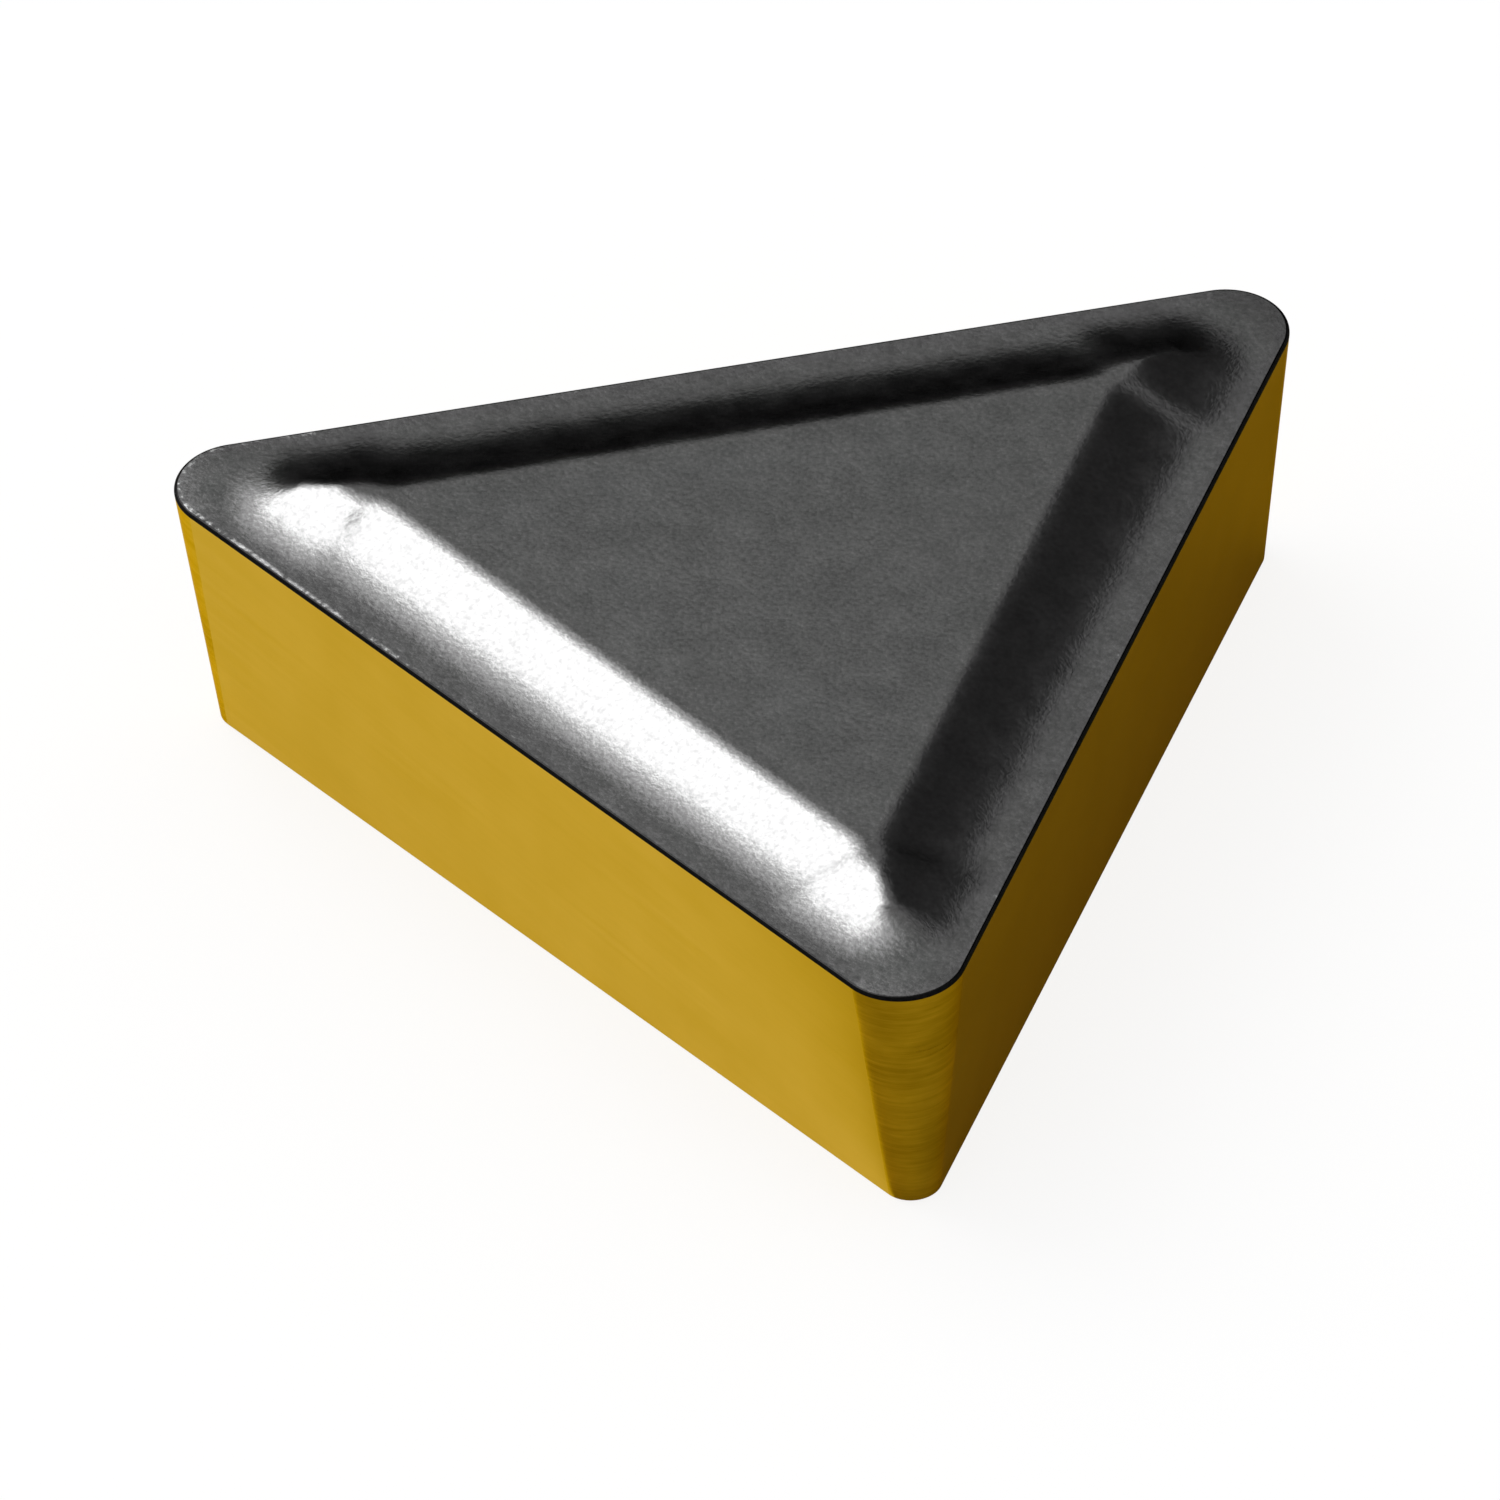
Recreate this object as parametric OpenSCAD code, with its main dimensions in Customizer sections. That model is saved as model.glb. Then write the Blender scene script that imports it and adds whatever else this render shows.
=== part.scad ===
// Triangular turning insert with three noses, clearance under its cutting edges
// and a pressed chip breaker on its top face. It stands on its seat, the plane z = 0,
// with its axis on Z and one nose towards +Y.

/* [Outline] */
// Diameter of the circle that touches all three cutting edges
inscribed_d = 9.525; // [7.94:0.005:15.875]
// Height of the cutting edges above the seat
thickness = 3.97; // [2.38:0.01:4.76]
// Radius of each nose, seen from above
nose_r = 0.9; // [0.7:0.05:1.2]
// Lean of the flanks, inwards below the cutting edges
clearance_a = 7; // [3:0.5:8]
// Radius of the hone along the cutting edges
hone_r = 0.05; // [0.03:0.01:0.1]

/* [Chip breaker] */
// Height of the plateau above the cutting edges
plateau_h = 0.34; // [0.3:0.01:0.38]
// Distance from a cutting edge to the edge of the plateau
plateau_inset = 1.74; // [1.65:0.01:2.2]
// Slope of the walls that climb to the plateau
wall_a = 22; // [19:1:24]
// Radius of the groove between the land and a wall
groove_r = 2.7; // [1.4:0.1:3.2]
// Radius that rounds the edge of the plateau
crest_r = 0.9; // [0.4:0.1:1.8]

/* [Corner ridges] */
// Distance by which a ridge's sides stand out beyond the plateau's walls
ridge_step = 0.2; // [0.1:0.02:0.3]
// Radius of a ridge's round end, at the height of the cutting edges
ridge_r = 0.7; // [0.55:0.05:1]
// Length of a ridge's straight sides
ridge_len = 0.9; // [0.6:0.05:1.2]
// Turn, in plan, of the short walls that lead from the plateau's walls to a ridge
flare_a = 30; // [15:1:45]
// Depth of the narrow flat that is taken off a ridge's top edge
ridge_flat = 0.06; // [0.02:0.01:0.07]

/* [Hidden] */
$fn = 180;
// Distance by which a nose's round stands proud of the flanks, so that it crosses them
lap = 0.0002;
// Angle at which a round in a section crosses the flats that it blends
meet_a = 5;
// Depth to which the chip breaker reaches below the land, into the body
sink = 0.5;
// Length by which every section reaches past the far side of the insert
reach = 2 * inscribed_d;
// Length by which a cutter passes the surfaces that it trims
margin = 1;
// Corner of the triangle, and the direction in which the two flanks beside a nose face, from its bisector
corner_a = 60;
side_a = 90 - corner_a / 2;
edge_x = inscribed_d / 2;
nose_x = (edge_x - nose_r) / cos(side_a);
hone_x = nose_r - hone_r * (1 + sin(clearance_a)) / cos(clearance_a);
// How far a wall runs in plan from its foot to the plateau, and the tangents of its two rounds
wall_run = plateau_h / tan(wall_a);
groove_t = groove_r * tan(wall_a / 2);
crest_t = crest_r * tan(wall_a / 2);
// Distance from the axis to the foot of the plateau's walls and to the foot of a ridge's sides
wall_x = edge_x - plateau_inset + wall_run;
side_x = wall_x + ridge_step;
// Place of a ridge's round end on the line to the nose, and the far end of its straight sides
end_x = (side_x - ridge_r) / cos(side_a);
end_u = end_x * sin(side_a);
flare_x = side_x * cos(flare_a) - (end_u - ridge_len) * sin(flare_a);
// Slope of a ridge's top edge, where its two sides would meet
hip_a = atan(tan(wall_a) * cos(side_a));
// Directions in which the edges face and the noses point
edge_turns = [30, 150, 270];
nose_turns = [90, 210, 330];

// Radius of a round about the centre of its tangent one, so that it crosses the flats
function proud(r) = r / cos(meet_a);

// Section through the rim: flank, hone and land. x runs outwards from the centre of a nose.
module rim_section(depth, top) {
    hone_z = thickness - hone_r;
    polygon([
        [-depth, 0],
        [nose_r - thickness * tan(clearance_a), 0],
        [hone_x + hone_r * cos(clearance_a), hone_z - hone_r * sin(clearance_a)],
        [hone_x, thickness],
        [hone_x, top],
        [-depth, top]
    ]);
    translate([hone_x, hone_z]) circle(proud(hone_r));
}

// Section through a wall: groove, slope and rounded crest. x runs outwards from the foot of the wall.
module wall_section(depth) {
    crest_x = -wall_run - crest_t;
    difference() {
        intersection() {
            polygon([
                [-depth, -sink],
                [groove_t, -sink],
                [groove_t, 0],
                [-groove_t * cos(wall_a), groove_t * sin(wall_a)],
                [-wall_run, plateau_h],
                [-depth, plateau_h]
            ]);
            union() {
                below_crest();
                translate([crest_x, plateau_h - crest_r]) circle(proud(crest_r));
            }
        }
        translate([groove_t, groove_r]) circle(proud(groove_r));
    }

    // Everything but the corner that the crest's round replaces
    module below_crest() {
        round_z = plateau_h - crest_t * sin(wall_a);
        polygon([
            [-depth - margin, -sink - margin],
            [groove_t + margin, -sink - margin],
            [groove_t + margin, round_z],
            [crest_t * cos(wall_a) - wall_run, round_z],
            [crest_x, plateau_h],
            [crest_x, plateau_h + margin],
            [-depth - margin, plateau_h + margin]
        ]);
    }
}

// A section swept straight along an edge, or a line, at distance x from the axis and facing the angle a
module along(a, x) {
    rotate(a) translate([x, 0, 0]) rotate([90, 0, 0])
        linear_extrude(2 * reach, center = true) children();
}

// Cutter that rounds a corner on +X. It is all that lies outside a section turned about the point x.
module round_cut(x, bottom, top) {
    translate([x, 0, 0]) rotate_extrude(angle = 2 * side_a, start = -side_a) difference() {
        translate([0, bottom]) square([reach, top - bottom]);
        translate([lap, 0]) children();
    }
}

// The insert up to its cutting edges, with a flat top
module body() {
    difference() {
        intersection_for(a = edge_turns) along(a, edge_x - nose_r) rim_section(reach, thickness);
        for (a = nose_turns) rotate(a)
            round_cut(nose_x, -margin, thickness + margin)
                rim_section(nose_r, thickness + 2 * margin);
    }
}

// The raised plateau, with its three walls
module plateau() {
    intersection_for(a = edge_turns) along(a, wall_x) wall_section(reach);
}

// The ridge that leads from the plateau towards the nose on +X, before its end is rounded
module ridge() {
    intersection() {
        intersection_for(side = [-1, 1]) intersection() {
            along(side * side_a, side_x) wall_section(side_x / 2);
            along(side * (side_a + flare_a), flare_x) wall_section(side_x);
        }
        below_flat();
    }
}

// All that lies under the flat along the top edge of the ridge on +X
module below_flat() {
    translate([end_x, 0, ridge_r * tan(wall_a) - ridge_flat]) rotate([0, hip_a, 0])
        translate([-reach, -reach, -reach]) cube([2 * reach, 2 * reach, reach]);
}

module ridge_end() {
    round_cut(end_x, -2 * sink, plateau_h + margin)
        translate([ridge_r, 0]) wall_section(2 * ridge_r);
}

// Everything that stands above the land
module chip_breaker() {
    difference() {
        union() {
            plateau();
            for (a = nose_turns) rotate(a) ridge();
        }
        for (a = nose_turns) rotate(a) ridge_end();
    }
}

module insert() {
    color("goldenrod") body();
    color("dimgray") translate([0, 0, thickness]) chip_breaker();
}

insert();
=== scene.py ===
# Triangular cutting insert on a white floor: gold ground flanks under a dark pressed top
import bmesh
import bpy
import math
from mathutils import Matrix, Vector


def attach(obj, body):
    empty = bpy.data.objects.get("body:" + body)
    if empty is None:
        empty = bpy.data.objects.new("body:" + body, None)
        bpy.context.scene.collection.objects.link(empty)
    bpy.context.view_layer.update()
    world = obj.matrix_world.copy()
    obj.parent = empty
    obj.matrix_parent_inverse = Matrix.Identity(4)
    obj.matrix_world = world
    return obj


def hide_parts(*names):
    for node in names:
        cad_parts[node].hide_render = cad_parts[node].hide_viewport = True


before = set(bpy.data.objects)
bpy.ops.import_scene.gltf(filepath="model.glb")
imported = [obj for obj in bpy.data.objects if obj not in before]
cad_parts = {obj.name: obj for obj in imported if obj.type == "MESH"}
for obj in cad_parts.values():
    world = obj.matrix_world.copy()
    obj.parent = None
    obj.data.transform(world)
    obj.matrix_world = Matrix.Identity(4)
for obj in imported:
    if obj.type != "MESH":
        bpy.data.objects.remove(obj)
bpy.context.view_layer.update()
print("frame loaded")

mm = 0.001              # the insert is modelled in millimetres and scaled down once, at the end
noseTurns = (90, 210, 330)
edgeTurns = (270, 30, 150)
sideTurn = 60           # between the directions of a nose and of the edges beside it, degrees
sideCos, sideSin = 0.5, math.sqrt(3) / 2
near = 1e-5             # places closer than this are the same, mm
loose = 2e-3            # the same, for places that insets have moved a little, mm
aligned = 0.9999        # directions with a larger cosine between them are the same


def turned(degrees, length=1.0):
    return Vector((math.cos(math.radians(degrees)), math.sin(math.radians(degrees)), 0)) * length


# ---- camera: a parallel view at the photograph's angle ----
photo = {
    "azimuth": 50.50,
    "elevation": 40.376,
    "roll": 2.728,
    "width": 20.029,              # what the frame takes in, mm
    "offset": (0.6533, 0.8917),   # the seat's centre from the frame's centre, right and down, mm
    "distance": 100.0,
    "clip": (0.001, 10.0),        # nearest and farthest that the camera sees, m
}


def makeCamera():
    azimuth, elevation = math.radians(photo["azimuth"]), math.radians(photo["elevation"])
    back = Vector((math.sin(azimuth) * math.cos(elevation),
                   -math.cos(azimuth) * math.cos(elevation), math.sin(elevation)))
    right = Vector((0, 0, 1)).cross(back).normalized()
    right = Matrix.Rotation(math.radians(-photo["roll"]), 3, back) @ right
    up = back.cross(right)
    data = bpy.data.cameras.new("photoCamera")
    data.type = "ORTHO"
    data.ortho_scale = photo["width"] * mm
    data.clip_start, data.clip_end = photo["clip"]
    camera = bpy.data.objects.new("photoCamera", data)
    bpy.context.scene.collection.objects.link(camera)
    aim = up * photo["offset"][1] - right * photo["offset"][0]
    turn = Matrix((right, up, back)).transposed().to_4x4()
    camera.matrix_world = Matrix.Translation((aim + back * photo["distance"]) * mm) @ turn
    bpy.context.scene.camera = camera


makeCamera()
print("camera placed")


# ---- helpers for edit mode: they pick by place, and the operators do the rest ----
def editMesh():
    return bmesh.from_edit_mesh(bpy.context.edit_object.data)


def pick(kind, test):
    bpy.ops.mesh.select_mode(type=kind)
    bpy.ops.mesh.select_all(action="DESELECT")
    mesh = editMesh()
    for item in {"VERT": mesh.verts, "EDGE": mesh.edges, "FACE": mesh.faces}[kind]:
        if test(item):
            item.select_set(True)
    mesh.select_flush_mode()
    bmesh.update_edit_mesh(bpy.context.edit_object.data)


def isLevel(face):
    return abs(face.normal.z) > aligned


def pickLevel(height):
    pick("FACE", lambda f: isLevel(f) and abs(f.calc_center_median().z - height) < near)


def nearestNose(point):
    return max(range(3), key=lambda k: point.dot(turned(noseTurns[k])))


def pickNose(k, above=-near):
    pick("VERT", lambda v: v.co.z > above and nearestNose(v.co) == k)


def fromNoseLine(point):
    # distances along and across the line from the axis to the nearest nose
    along = turned(noseTurns[nearestNose(point)])
    return point.dot(along), abs(along.x * point.y - along.y * point.x)


def startRoundedTriangle(name, distance, radius, height, segments):
    # a circle, with each third of it moved out towards its nose
    bpy.ops.object.select_all(action="DESELECT")
    bpy.ops.mesh.primitive_circle_add(vertices=3 * (segments + 1), radius=radius, fill_type="NGON",
                                      location=(0, 0, 0))
    bpy.context.active_object.name = name
    bpy.ops.object.mode_set(mode="EDIT")
    for k in range(3):
        pickNose(k)
        shift = turned(noseTurns[k], distance)
        bpy.ops.transform.translate(value=(shift.x, shift.y, height))


# ---- the insert's body: seat, flanks, noses and the hone along its edges ----
body = {
    "inscribed": 4.7625,      # radius of the circle that touches the cutting edges
    "thickness": 3.97,
    "noseRadius": 0.9,
    "noseSegments": 48,
    "clearance": 7.0,
    "hone": 0.05,
    "honeSteps": 8,
    "seatBreak": 0.02,        # the small chamfer round the seat
    "lineTop": 0.12,          # depth on the hone, as a share of its radius, where its black line of painted shade starts
    "smoothAngle": 30.0,      # edges sharper than this stay sharp, degrees
}


def noseDistance():
    # from the axis to the middle of a nose's round
    return (body["inscribed"] - body["noseRadius"]) / sideCos


def makeBody():
    lean = math.radians(body["clearance"])
    seatRadius = body["noseRadius"] - body["thickness"] * math.tan(lean)
    seatBreak, hone = body["seatBreak"], body["hone"]
    honeX = body["noseRadius"] - hone * (1 + math.sin(lean)) / math.cos(lean)
    honeZ = body["thickness"] - hone
    # the noses' radius and the height, from the seat up to the land
    levels = [(seatRadius - seatBreak, 0), (seatRadius + seatBreak * math.tan(lean), seatBreak)]
    for step in range(body["honeSteps"] + 1):
        rise = -lean + (math.pi / 2 + lean) * step / body["honeSteps"]
        levels.append((honeX + hone * math.cos(rise), honeZ + hone * math.sin(rise)))
    startRoundedTriangle("insertBody", noseDistance(), *levels[0], body["noseSegments"])
    for (radius, height), (nextRadius, nextHeight) in zip(levels, levels[1:]):
        pickLevel(height)
        bpy.ops.mesh.extrude_region_move(TRANSFORM_OT_translate={"value": (0, 0, nextHeight - height)})
        factor = nextRadius / radius
        for k in range(3):
            pickNose(k, nextHeight - near)
            centre = turned(noseTurns[k], noseDistance())
            bpy.ops.transform.resize(value=(factor, factor, 1),
                                     center_override=(centre.x, centre.y, nextHeight))
    pickLevel(body["thickness"])
    bpy.ops.mesh.delete(type="ONLY_FACE")
    bpy.ops.object.mode_set(mode="OBJECT")
    return bpy.context.active_object


# ---- the pressed chip breaker: groove, wall and crest, and a ridge towards each nose ----
breaker = {
    "height": 0.34,
    "inset": 1.74,                # from a cutting edge to the edge of the plateau
    "slope": 22.0,
    "grooveRadius": 2.7,
    "grooveSteps": 10,
    "wallSteps": 5,
    "crestRadius": 0.9,
    "crestSteps": 8,
    "ridgeStep": 0.2,             # how far a ridge's sides stand out beyond the plateau's walls
    "ridgeRadius": 0.7,
    "ridgeLength": 0.9,
    "endSegments": 48,
    "flare": 30.0,                # turn in plan of the short walls that lead to a ridge
    "sideCuts": 4,
    "ridgeRound": 0.55,           # radius of the ball that rounds a ridge's top edge
    "ridgeSteps": 8,
    "ridgeRows": (0.33, 0.67),    # rows of cuts between a ridge's round and the cone at its end
    "creaseBevel": 0.14,
    "creaseSteps": 6,
    "weld": 2e-4,                 # points closer than this are made one
}


def breakerSizes():
    # wall, side and flareSide are distances from the axis to the groove's outer rim
    slope, flare = math.radians(breaker["slope"]), math.radians(breaker["flare"])
    run = breaker["height"] / math.tan(slope)
    grooveReach = breaker["grooveRadius"] * math.tan(slope / 2)
    crestReach = breaker["crestRadius"] * math.tan(slope / 2)
    wall = body["inscribed"] - breaker["inset"] + run
    side = wall + breaker["ridgeStep"]
    end = (side - breaker["ridgeRadius"]) / sideCos
    endAlong = end * sideSin
    flareSide = side * math.cos(flare) - (endAlong - breaker["ridgeLength"]) * math.sin(flare)
    return {
        "wall": wall + grooveReach, "side": side + grooveReach, "flareSide": flareSide + grooveReach,
        "end": end, "endAlong": endAlong, "footRadius": breaker["ridgeRadius"] + grooveReach,
        "crestStart": grooveReach + run - crestReach * math.cos(slope),
        "width": grooveReach + run + crestReach,
    }


def breakerProfile():
    # distance inwards from the groove's outer rim, and height above the land
    slope = math.radians(breaker["slope"])
    groove, crest = breaker["grooveRadius"], breaker["crestRadius"]
    width = breakerSizes()["width"]
    points, topPoints = [], []
    for step in range(breaker["grooveSteps"] + 1):
        lean = slope * step / breaker["grooveSteps"]
        points.append((groove * math.sin(lean), groove * (1 - math.cos(lean))))
    for step in range(breaker["crestSteps"] + 1):
        lean = slope * (1 - step / breaker["crestSteps"])
        topPoints.append((width - crest * math.sin(lean), breaker["height"] - crest * (1 - math.cos(lean))))
    foot, top = Vector(points[-1]), Vector(topPoints[0])
    for step in range(1, breaker["wallSteps"]):
        points.append(tuple(foot.lerp(top, step / breaker["wallSteps"])))
    return points + topPoints


def setFlares():
    # of the points on each straight side, two go where a flare meets a ridge, two where it meets the wall
    sizes = breakerSizes()
    land = Vector((0, 0, body["thickness"]))
    # the crossings' distance from the axis, seen along a nose
    cornerX, creaseX = ((sizes[name] - sizes["flareSide"] * sideSin) / sideCos for name in ("side", "wall"))
    for turn in edgeTurns:
        tangent, outwards = turned(turn + 90), turned(turn)
        for side in (-1, 1):
            noseAlong = turned(turn + side * sideTurn)
            across = tangent * side - noseAlong * (tangent * side).dot(noseAlong)
            across = -across.normalized()
            for place, x in ((1, cornerX), (2, creaseX)):
                target = land + noseAlong * x + across * sizes["flareSide"]
                along = side * (1 - 2 * place / (breaker["sideCuts"] + 1)) * sizes["endAlong"]
                now = land + outwards * sizes["side"] + tangent * along
                start = min((v.co.copy() for v in editMesh().verts), key=lambda co: (co - now).length)
                pick("VERT", lambda v: (v.co - start).length < near)
                bpy.ops.transform.translate(value=target - start)


def mergeEnds(width):
    # at this width of the section, each ridge's round end has shrunk to a point
    sizes = breakerSizes()
    for turn in noseTurns:
        centre = turned(turn, sizes["end"])
        pick("VERT", lambda v: (v.co.xy - centre.xy).length < sizes["footRadius"] - width + loose)
        bpy.ops.mesh.merge(type="CENTER")
        tip = next(v.co.copy() for v in editMesh().verts if v.select)
        target = turned(turn, (sizes["side"] - width) / sideCos)
        bpy.ops.transform.translate(value=(target.x - tip.x, target.y - tip.y, 0))
    pick("FACE", isLevel)


def makeBreaker():
    sizes = breakerSizes()
    startRoundedTriangle("chipBreaker", sizes["end"], sizes["footRadius"], body["thickness"],
                         breaker["endSegments"])
    # only the straight sides are this long
    pick("EDGE", lambda e: e.calc_length() > sizes["endAlong"])
    bpy.ops.mesh.subdivide(number_cuts=breaker["sideCuts"])
    setFlares()
    pick("FACE", lambda f: True)
    profile = breakerProfile()
    for (width, height), (nextWidth, nextHeight) in zip(profile, profile[1:]):
        if abs(width - sizes["crestStart"]) < near:
            mergeEnds(width)
        bpy.ops.mesh.inset(thickness=nextWidth - width, depth=0, use_even_offset=True)
        bpy.ops.transform.translate(value=(0, 0, nextHeight - height))
    bpy.ops.object.mode_set(mode="OBJECT")
    return bpy.context.active_object


def softenCreases():
    # the short walls meet the long ones and the ridges along straight lines in plan
    sizes = breakerSizes()

    def miss(vert, side):
        x, y = fromNoseLine(vert.co)
        return abs(x * sideCos + y * sideSin - side - y + sizes["flareSide"])

    def onCrease(edge):
        if abs(edge.verts[0].co.z - edge.verts[1].co.z) < near:
            return False
        return any(max(miss(vert, sizes[name]) for vert in edge.verts) < loose for name in ("wall", "side"))

    pick("EDGE", onCrease)
    bpy.ops.mesh.bevel(offset=breaker["creaseBevel"], segments=breaker["creaseSteps"], affect="EDGES",
                       clamp_overlap=False)


def ridgeNormals(turn):
    # directions of the cuts that round a ridge, across its top edge and then towards its end
    slope = math.radians(breaker["slope"])
    side = math.asin(math.sin(slope) * sideSin)
    rise = math.tan(slope) * sideCos
    up = Vector((0, 0, 1))
    top = (turned(turn) * rise + up).normalized()
    shares = [2 * step / breaker["ridgeSteps"] - 1 for step in range(1, breaker["ridgeSteps"])]
    normals = [top * math.cos(side * share) + turned(turn + 90) * math.sin(side * share) for share in shares]
    for share in shares:
        bearing = sideTurn * share
        least = math.atan(rise / math.cos(math.radians(bearing)))
        for row in breaker["ridgeRows"]:
            lean = least + (slope - least) * row
            normals.append(turned(turn + bearing) * math.sin(lean) + up * math.cos(lean))
    return normals


def roundRidges():
    # each cut touches a ball that rolls along under the ridge's top edge, up to the ridge's end
    sizes = breakerSizes()
    slope = math.radians(breaker["slope"])
    ball = breaker["ridgeRound"]
    wallFoot = body["thickness"] + breaker["grooveRadius"] * (1 - math.cos(slope))
    ballZ = body["thickness"] + breaker["ridgeRadius"] * math.tan(slope) - ball / math.cos(slope)
    reach = 2 * sizes["footRadius"]
    for turn in noseTurns:
        centre = turned(turn, sizes["end"]) + Vector((0, 0, ballZ))

        def onRidge(vert):
            return vert.co.z > wallFoot - breaker["weld"] and (vert.co.xy - centre.xy).length < reach

        for normal in ridgeNormals(turn):
            pick("FACE", lambda f: not isLevel(f) and all(onRidge(v) for v in f.verts))
            bpy.ops.mesh.bisect(plane_co=centre + normal * ball, plane_no=normal, use_fill=True,
                                clear_outer=True)
    # the cuts leave points that lie on each other
    bpy.ops.mesh.select_all(action="SELECT")
    bpy.ops.mesh.remove_doubles(threshold=breaker["weld"])
    bpy.ops.mesh.dissolve_degenerate(threshold=breaker["weld"])


def joinInsert(insertBody, chipBreaker):
    bpy.ops.object.select_all(action="DESELECT")
    chipBreaker.select_set(True)
    bpy.context.view_layer.objects.active = chipBreaker
    bpy.ops.object.mode_set(mode="EDIT")
    softenCreases()
    roundRidges()
    bpy.ops.object.mode_set(mode="OBJECT")
    insertBody.select_set(True)
    bpy.context.view_layer.objects.active = insertBody
    bpy.ops.object.join()
    bpy.ops.object.mode_set(mode="EDIT")
    # the land: a flat face between the hone and the groove
    pick("EDGE", lambda e: e.is_boundary)
    bpy.ops.mesh.fill(use_beauty=True)
    bpy.ops.mesh.select_all(action="SELECT")
    bpy.ops.mesh.normals_make_consistent(inside=False)
    bpy.ops.object.mode_set(mode="OBJECT")
    return insertBody


def edgeInwards(point):
    # how far a point lies inside the cutting edges, seen from above, in mm
    along, across = fromNoseLine(point)
    past = along - noseDistance()
    if across < past * sideSin / sideCos:
        return body["noseRadius"] - math.hypot(past, across)
    return body["inscribed"] - max(point.dot(turned(turn)) for turn in edgeTurns)


# ---- finishes ----
finishes = {
    # as-pressed top with its dark coating
    "pressedTop": {"dark": (0.058, 0.058, 0.058), "light": (0.087, 0.087, 0.087), "rim": (0.25, 0.25, 0.25),
                   "roughness": (0.20, 0.24), "grain": 13.0, "mottle": 2.2, "mottleShare": 0.25,
                   "bump": 0.0038},
    # black line of the hone: painted shade, a matt black standing in for the dark that the rounded edge shows
    "shadedEdgeLine": {"dark": (0.002, 0.002, 0.002), "light": (0.006, 0.006, 0.006), "rim": (0.0, 0.0, 0.0),
                 "roughness": (0.45, 0.6), "grain": 20.0, "mottle": 3.0, "mottleShare": 0.5, "bump": 0.0006,
                 "shine": 0.03},
    # gold coating over ground faces
    "goldFlank": {"dark": (0.665, 0.44, 0.093), "light": (0.705, 0.47, 0.107), "rim": (0.37, 0.28, 0.0),
                  "roughness": (0.32, 0.36), "along": 0.22, "across": 9.0, "tilt": 0.10, "bump": 0.00035},
    # ground noses: the stronger lines are their own grinding; their darker base colour is painted shade
    "goldNose": {"dark": (0.43, 0.268, 0.025), "light": (0.65, 0.415, 0.07), "rim": (0.78, 0.58, 0.08),
                 "roughness": (0.27, 0.37), "along": 0.9, "across": 15.0, "tilt": 0.0, "bump": 0.0012},
    "goldSeat": {"dark": (0.60, 0.38, 0.06), "light": (0.68, 0.45, 0.09), "rim": (0.36, 0.27, 0.12),
                 "roughness": (0.26, 0.34), "along": 0.2, "across": 10.0, "tilt": 0.3, "bump": 0.0004},
}

# what most values of a noise lie between, and for the grain their middle and half their range
noiseRange = {
    "middle": 0.5,
    "mottle": (0.35, 0.65),
    "lines": (0.3, 0.7),
    "linesAndPatches": (0.75, 1.25),
    "grainHalf": 0.2,
}


def startGroup(name, inputs, outputs):
    # a node group that takes coordinates and some numbers, and gives masks
    group = bpy.data.node_groups.new(name, "ShaderNodeTree")
    group.interface.new_socket(name="Vector", in_out="INPUT", socket_type="NodeSocketVector")
    for direction, labels in (("INPUT", inputs), ("OUTPUT", outputs)):
        for label in labels:
            group.interface.new_socket(name=label, in_out=direction, socket_type="NodeSocketFloat")
    given = group.nodes.new("NodeGroupInput")
    inMm = addNode(group, "VectorMath", {0: given.outputs["Vector"], "Scale": 1 / mm}, operation="SCALE")
    return group, given, group.nodes.new("NodeGroupOutput"), inMm.outputs[0]


def addNode(tree, kind, sources, **settings):
    # a node with its settings, and a value or a link for each socket named or numbered in sources
    node = tree.nodes.new("ShaderNode" + kind)
    for name, value in settings.items():
        setattr(node, name, value)
    for socket, source in sources.items():
        if isinstance(source, bpy.types.NodeSocket):
            tree.links.new(source, node.inputs[socket])
        else:
            node.inputs[socket].default_value = source
    return node


def addMath(tree, operation, *sources):
    return addNode(tree, "Math", dict(enumerate(sources)), operation=operation).outputs[0]


def addNoise(tree, place, scale, detail, roughness):
    sources = {"Vector": place, "Scale": scale, "Detail": detail, "Roughness": roughness}
    return addNode(tree, "TexNoise", sources).outputs["Fac"]


def makeFineGrain():
    # pressed grain: fine, sharp pits and grains over a wide soft mottling
    group, given, result, inMm = startGroup("fineGrain", ("Grain Scale", "Mottle Scale"), ("Grain", "Mottle"))
    fine = addNoise(group, inMm, given.outputs["Grain Scale"], detail=3.0, roughness=0.62)
    wide = addNoise(group, inMm, given.outputs["Mottle Scale"], detail=4.0, roughness=0.6)
    group.links.new(fine, result.inputs["Grain"])
    group.links.new(wide, result.inputs["Mottle"])
    return group


def makeGroundLines():
    # lines left by the wheel, level round the flanks and noses, which fade in and out
    group, given, result, inMm = startGroup("groundLines", ("Along", "Across", "Tilt"), ("Lines", "Patches"))
    parts = addNode(group, "SeparateXYZ", {0: inMm})
    height = addMath(group, "MULTIPLY_ADD", parts.outputs["X"], given.outputs["Tilt"], parts.outputs["Z"])
    place = addNode(group, "CombineXYZ", {
        "X": addMath(group, "MULTIPLY", parts.outputs["X"], given.outputs["Along"]),
        "Y": addMath(group, "MULTIPLY", parts.outputs["Y"], given.outputs["Along"]),
        "Z": addMath(group, "MULTIPLY", height, given.outputs["Across"]),
    })
    lines = addNoise(group, place.outputs[0], scale=1.0, detail=4.0, roughness=0.7)
    patches = addNoise(group, inMm, scale=0.9, detail=3.0, roughness=0.5)
    group.links.new(lines, result.inputs["Lines"])
    group.links.new(patches, result.inputs["Patches"])
    return group


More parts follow.
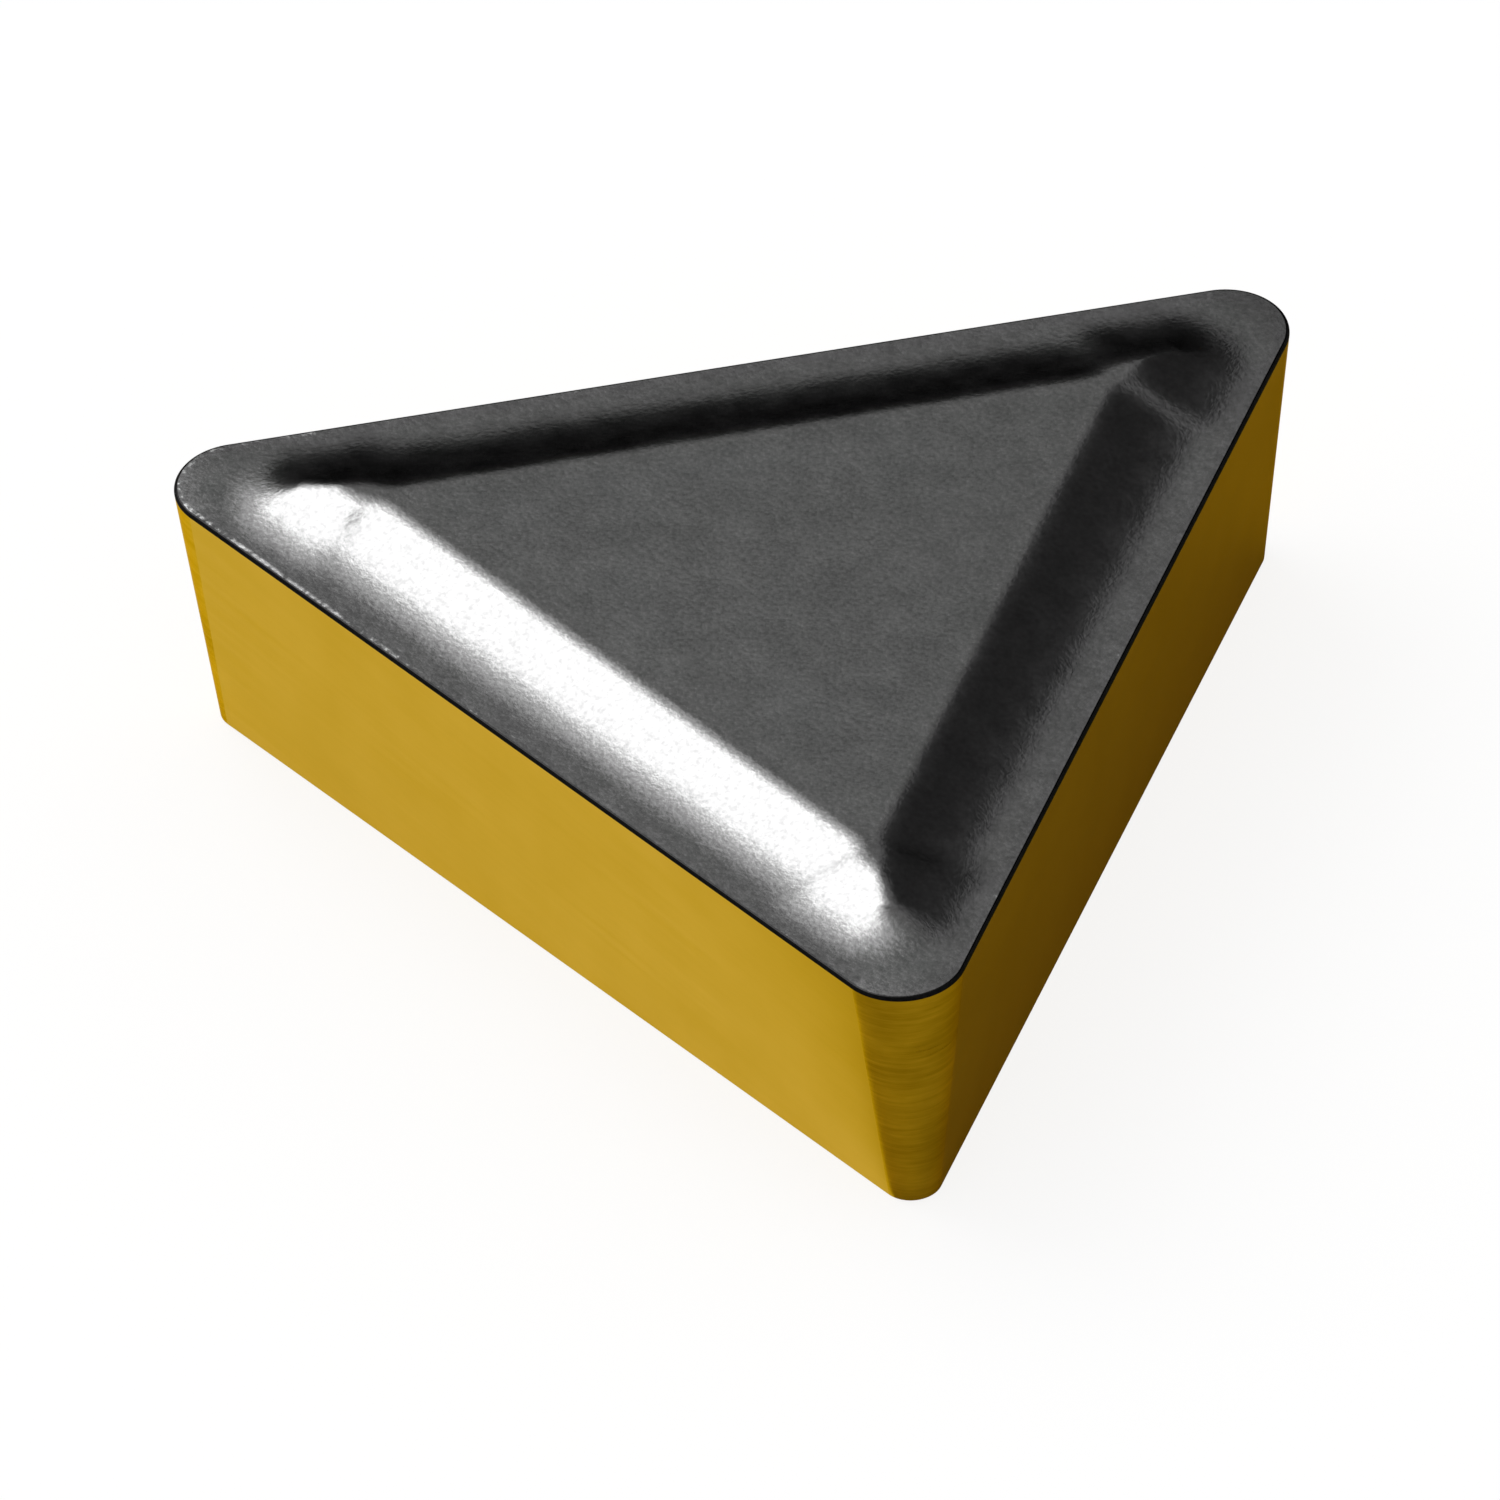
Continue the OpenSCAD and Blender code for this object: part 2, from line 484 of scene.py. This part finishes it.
def startMaterial(name):
    material = bpy.data.materials.new(name)
    material.use_nodes = True
    shader = material.node_tree.nodes["Principled BSDF"]
    shader.inputs["Metallic"].default_value = 1.0
    coordinates = addNode(material.node_tree, "TexCoord", {})
    return material, material.node_tree, shader, coordinates.outputs["Object"]


def spread(tree, value, low, high, toLow, toHigh):
    # maps one range of values to another, and stops at its ends
    sources = {"Value": value, "From Min": low, "From Max": high, "To Min": toLow, "To Max": toHigh}
    return addNode(tree, "MapRange", sources).outputs["Result"]


def mixColors(tree, factor, first, second):
    node = addNode(tree, "Mix", {"Factor": factor}, data_type="RGBA")
    for socket, color in (("A_Color", first), ("B_Color", second)):
        target = next(item for item in node.inputs if item.identifier == socket)
        if isinstance(color, bpy.types.NodeSocket):
            tree.links.new(color, target)
        else:
            target.default_value = (*color, 1)
    return next(item for item in node.outputs if item.identifier == "Result_Color")


def placeGroup(tree, group, coordinates, values):
    node = tree.nodes.new("ShaderNodeGroup")
    node.node_tree = group
    tree.links.new(coordinates, node.inputs["Vector"])
    for name, value in values.items():
        node.inputs[name].default_value = value
    return node.outputs


def bumpFrom(tree, height, distance, shader):
    bump = addNode(tree, "Bump", {"Height": height, "Distance": distance * mm, "Strength": 1.0})
    tree.links.new(bump.outputs["Normal"], shader.inputs["Normal"])


# painted highlights and painted shade along the top's rim
flecks = {
    "scale": 10.0, "patches": 2.2,       # per mm
    "patchShare": 0.6,
    "glintMiddle": (-5.0, -6.2),                # the middle of the length of edge where the painted highlights gather, seen from above, mm
    "glintReach": 5.5,                    # how far from there the flecks are gone, mm
    "level": (0.58, 1.00),               # the painted highlights show above this: in the middle, and at the reach
    "soft": 0.25,
    "reach": (0.085, 0.125),             # where the flecks' band fades out, mm inside the edge
    "line": (0.050, 0.060),              # where the painted-shade dark rim ends, mm inside the edge
    # colour of the painted highlights
    "color": (0.38, 0.38, 0.38),
}


def addFlecks(tree, fineGrain, place, color):
    # painted shade and painted highlights: the rounded rim is painted dark, with bright flecks of painted
    # highlight inside it, most round one length of edge
    inwards = addNode(tree, "Attribute", {}, attribute_name="edgeInwards").outputs["Fac"]
    scales = {"Grain Scale": flecks["scale"], "Mottle Scale": flecks["patches"]}
    glintNoise = placeGroup(tree, fineGrain, place, scales)
    glintMiddle = Vector((*flecks["glintMiddle"], body["thickness"])) * mm
    away = addNode(tree, "VectorMath", {0: place, 1: glintMiddle}, operation="DISTANCE").outputs["Value"]
    least = spread(tree, away, 0, flecks["glintReach"] * mm, *flecks["level"])
    both = addMath(tree, "MULTIPLY_ADD", glintNoise["Mottle"], flecks["patchShare"], glintNoise["Grain"])
    fleck = spread(tree, addMath(tree, "SUBTRACT", both, least), 0, flecks["soft"], 0, 1)
    nearEdge = spread(tree, inwards, *flecks["reach"], 1, 0)
    color = mixColors(tree, addMath(tree, "MULTIPLY", fleck, nearEdge), color, flecks["color"])
    # painted shade: the top's colour turns to the hone's black along the rim
    onLine = spread(tree, inwards, *flecks["line"], 1, 0)
    return mixColors(tree, onLine, color, finishes["shadedEdgeLine"]["light"])


def coatedTop(name, fineGrain):
    look = finishes[name]
    material, tree, shader, place = startMaterial(name)
    grain = placeGroup(tree, fineGrain, place, {"Grain Scale": look["grain"], "Mottle Scale": look["mottle"]})
    tone = addMath(tree, "MULTIPLY_ADD", grain["Mottle"], look["mottleShare"], grain["Grain"])
    middle, half = noiseRange["middle"] * (1 + look["mottleShare"]), noiseRange["grainHalf"]
    share = spread(tree, tone, middle - half, middle + half, 0, 1)
    color = mixColors(tree, share, look["dark"], look["light"])
    if name == "pressedTop":
        color = addFlecks(tree, fineGrain, place, color)
    tree.links.new(color, shader.inputs["Base Color"])
    roughness = spread(tree, grain["Mottle"], *noiseRange["mottle"], *look["roughness"])
    tree.links.new(roughness, shader.inputs["Roughness"])
    shader.inputs["Specular Tint"].default_value = (*look["rim"], 1)
    if name == "shadedEdgeLine":
        # a matt black that is no metal: painted shade on the hone
        shader.inputs["Metallic"].default_value = 0.0
        shader.inputs["Specular IOR Level"].default_value = look["shine"]
    bumpFrom(tree, grain["Grain"], look["bump"], shader)
    return material


def goldCoat(name, groundLines):
    look = finishes[name]
    material, tree, shader, place = startMaterial(name)
    if name == "goldSeat":
        # the lines run across the seat, so the pattern is tipped on its side
        place = addNode(tree, "Mapping", {"Vector": place, "Rotation": (math.pi / 2, 0, 0)}).outputs["Vector"]
    values = {"Along": look["along"], "Across": look["across"], "Tilt": look["tilt"]}
    ground = placeGroup(tree, groundLines, place, values)
    tone = addMath(tree, "ADD", ground["Lines"], ground["Patches"])
    share = spread(tree, tone, *noiseRange["linesAndPatches"], 0, 1)
    tree.links.new(mixColors(tree, share, look["dark"], look["light"]), shader.inputs["Base Color"])
    roughness = spread(tree, ground["Lines"], *noiseRange["lines"], *look["roughness"])
    tree.links.new(roughness, shader.inputs["Roughness"])
    shader.inputs["Specular Tint"].default_value = (*look["rim"], 1)
    bumpFrom(tree, ground["Lines"], look["bump"], shader)
    return material


def dress(insert):
    fineGrain, groundLines = makeFineGrain(), makeGroundLines()
    names = list(finishes)
    for name in names:
        material = goldCoat(name, groundLines) if name.startswith("gold") else coatedTop(name, fineGrain)
        insert.data.materials.append(material)
    honeFoot = body["thickness"] - body["hone"] * (1 + math.sin(math.radians(body["clearance"])))
    lineTop = body["thickness"] - body["hone"] * body["lineTop"]
    for face in insert.data.polygons:
        z = face.center.z
        if z > lineTop:
            which = "pressedTop"
        # painted shade: the hone's faces take the black edge line
        elif z > honeFoot:
            which = "shadedEdgeLine"
        elif z < body["seatBreak"]:
            which = "goldSeat"
        elif max(face.normal.xy.normalized().dot(turned(turn).xy) for turn in edgeTurns) > aligned:
            which = "goldFlank"
        else:
            which = "goldNose"
        face.material_index = names.index(which)
    inwards = insert.data.attributes.new("edgeInwards", "FLOAT", "POINT")
    for vertex in insert.data.vertices:
        inwards.data[vertex.index].value = edgeInwards(vertex.co)


def finishInsert(insert):
    bpy.ops.object.select_all(action="DESELECT")
    insert.select_set(True)
    bpy.context.view_layer.objects.active = insert
    insert.scale = (mm, mm, mm)
    bpy.ops.object.transform_apply(location=True, rotation=True, scale=True)
    bpy.ops.object.shade_smooth_by_angle(angle=math.radians(body["smoothAngle"]))
    weighted = insert.modifiers.new("flatFacesFirst", "WEIGHTED_NORMAL")
    weighted.keep_sharp = True
    bpy.ops.object.modifier_apply(modifier=weighted.name)
    insert.name = "insertDressed"


insert = joinInsert(makeBody(), makeBreaker())
dress(insert)
finishInsert(insert)
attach(insert, "root")
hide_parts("insert")
print("insert modelled")

# ---- floor, light and reflections ----
studio = {
    "floorColor": (0.96, 0.96, 0.96),
    "floorSize": 4.0,                           # m
    "floorShine": 0.82,                         # share of the floor that the camera sees as plain white
    "worldLight": 0.85,
    "fillStrength": 0.42,                       # what the fill lamp adds to the floor, 1 = white
    "fillHalfAngle": 20.0,
    "keyDirection": (-0.5877, -0.1016, 0.8027),
    "keyAcross": (0.5679, -0.1428, 0.4083),     # direction of the soft box's long side
    "keyDistance": 300.0,
    "keyHalfAngles": (21.0, 16.3),
    "keyShift": -2.2,                           # turn of the soft box along its long side, degrees
    "keyRadiance": 14.3,
    "haloHalfAngles": (30.0, 27.0),             # dimmer light round the soft box
    "haloRadiance": 3.2,
}


def matteMaterial(name, color):
    material = bpy.data.materials.new(name)
    material.use_nodes = True
    shader = material.node_tree.nodes["Principled BSDF"]
    shader.inputs["Base Color"].default_value = (*color, 1)
    shader.inputs["Roughness"].default_value = 1.0
    shader.inputs["Specular IOR Level"].default_value = 0.0
    return material


def anySight(tree):
    # 1 on camera, glossy and transmission rays
    path = addNode(tree, "LightPath", {})
    seen = path.outputs["Is Camera Ray"]
    for ray in ("Is Glossy Ray", "Is Transmission Ray"):
        seen = addMath(tree, "MAXIMUM", seen, path.outputs[ray])
    return seen


def makeFloor():
    bpy.ops.object.select_all(action="DESELECT")
    bpy.ops.mesh.primitive_plane_add(size=studio["floorSize"], location=(0, 0, 0))
    floor = bpy.context.active_object
    floor.name = "floor"
    material = matteMaterial("floorPaper", studio["floorColor"])
    floor.data.materials.append(material)
    # the camera, metal and glass see it most of the way to white, with a light shadow left on it
    tree = material.node_tree
    white = addNode(tree, "Emission", {"Color": (1, 1, 1, 1), "Strength": 1.0}).outputs[0]
    share = addMath(tree, "MULTIPLY", anySight(tree), studio["floorShine"])
    mix = addNode(tree, "MixShader", {0: share, 1: tree.nodes["Principled BSDF"].outputs[0], 2: white})
    tree.links.new(mix.outputs[0], tree.nodes["Material Output"].inputs["Surface"])


def makeWorld():
    # plain light, which the camera, metal and glass see as white
    world = bpy.data.worlds.new("studio")
    bpy.context.scene.world = world
    world.use_nodes = True
    tree = world.node_tree
    background = tree.nodes["Background"]
    background.inputs["Color"].default_value = (1, 1, 1, 1)
    strength = spread(tree, anySight(tree), 0, 1, studio["worldLight"], 1.0)
    tree.links.new(strength, background.inputs["Strength"])


def makeLamp(name, halfAngles, radiance):
    # a flat lamp of one radiance, facing the insert from the key's direction
    direction = Vector(studio["keyDirection"]).normalized()
    across = Vector(studio["keyAcross"])
    across = (across - direction * across.dot(direction)).normalized()
    direction = (direction + across * math.tan(math.radians(studio["keyShift"]))).normalized()
    across = (across - direction * across.dot(direction)).normalized()
    distance = studio["keyDistance"] * mm
    data = bpy.data.lights.new(name, "AREA")
    data.shape = "RECTANGLE"
    data.size, data.size_y = (2 * distance * math.tan(math.radians(angle)) for angle in halfAngles)
    data.energy = radiance * math.pi * data.size * data.size_y
    lamp = bpy.data.objects.new(name, data)
    bpy.context.scene.collection.objects.link(lamp)
    turn = Matrix((across, direction.cross(across), direction)).transposed().to_4x4()
    lamp.matrix_world = Matrix.Translation(direction * distance) @ turn
    lamp.visible_camera = False
    return lamp


def makeLamps():
    # the key and its halo are seen only in reflections, and the fill lights only the floor
    makeLamp("softKey", studio["keyHalfAngles"], studio["keyRadiance"]).visible_diffuse = False
    makeLamp("softHalo", studio["haloHalfAngles"], studio["haloRadiance"]).visible_diffuse = False
    half = studio["fillHalfAngle"]
    # the light that such a lamp of radiance 1 brings to the floor
    share = (2 * math.tan(math.radians(half))) ** 2 * Vector(studio["keyDirection"]).normalized().z / math.pi
    makeLamp("softFill", (half, half), studio["fillStrength"] / share).visible_glossy = False


# dark cards beside the set and coloured ones on the floor, seen only in reflections, in mm; the card on the
# floor in front and to the right is painted shadow
flags = {
    "farFlag": {"turn": 144, "distance": 45, "width": 61, "low": 0.02, "high": 27,
                "color": (0.003, 0.003, 0.003)},
    "sideFlag": {"turn": 91, "distance": 100, "width": 157, "low": -5, "high": 160,
                 "color": (0.13, 0.13, 0.13)},
}
floorCards = {
    # painted shadow: in reflections this card stands in for the insert's shadow on the floor in front and to
    # the right
    "shadowCard": {"color": (0.38, 0.34, 0.04),
                  "corners": ((6.88, -4.2), (-1.5, -11.4), (-12, -30), (40, -40), (60, 0), (40, 30),
                              (3, 26), (-1.8, 13), (-1.3, 9), (2.5, 1.0), (6.0, -3.0))},
    "backCard": {"color": (0.003, 0.003, 0.003),
                 "corners": ((-3, 13), (-13, 5), (-50, 4), (-50, 50), (-4, 55))},
}
cardLift = 0.01     # height of the floor cards, mm


def makeFlag(name, turn, distance, width, low, high, color):
    bpy.ops.object.select_all(action="DESELECT")
    bpy.ops.mesh.primitive_plane_add(size=1, location=(0, 0, 0))
    card = bpy.context.active_object
    card.scale = (width * mm, (high - low) * mm, 1)
    card.rotation_euler = (math.pi / 2, 0, math.radians(turn + 90))
    card.location = turned(turn, distance * mm) + Vector((0, 0, (low + high) / 2 * mm))
    hideCard(card, name, color)


def makeFloorCard(name, corners, color):
    bpy.ops.object.select_all(action="DESELECT")
    bpy.ops.mesh.primitive_circle_add(vertices=len(corners), radius=1, fill_type="NGON", location=(0, 0, 0))
    card = bpy.context.active_object
    for vertex, (x, y) in zip(card.data.vertices, corners):
        vertex.co = Vector((x, y, cardLift)) * mm
    hideCard(card, name, color)


def hideCard(card, name, color):
    card.name = name
    card.data.materials.append(matteMaterial(name + "Card", color))
    for ray in ("camera", "diffuse", "shadow", "transmission", "volume_scatter"):
        setattr(card, "visible_" + ray, False)


makeFloor()
makeWorld()
makeLamps()
for name, card in flags.items():
    makeFlag(name, **card)
for name, card in floorCards.items():
    makeFloorCard(name, **card)
bpy.context.scene.view_settings.view_transform = "Standard"
print("floor, light and world made")
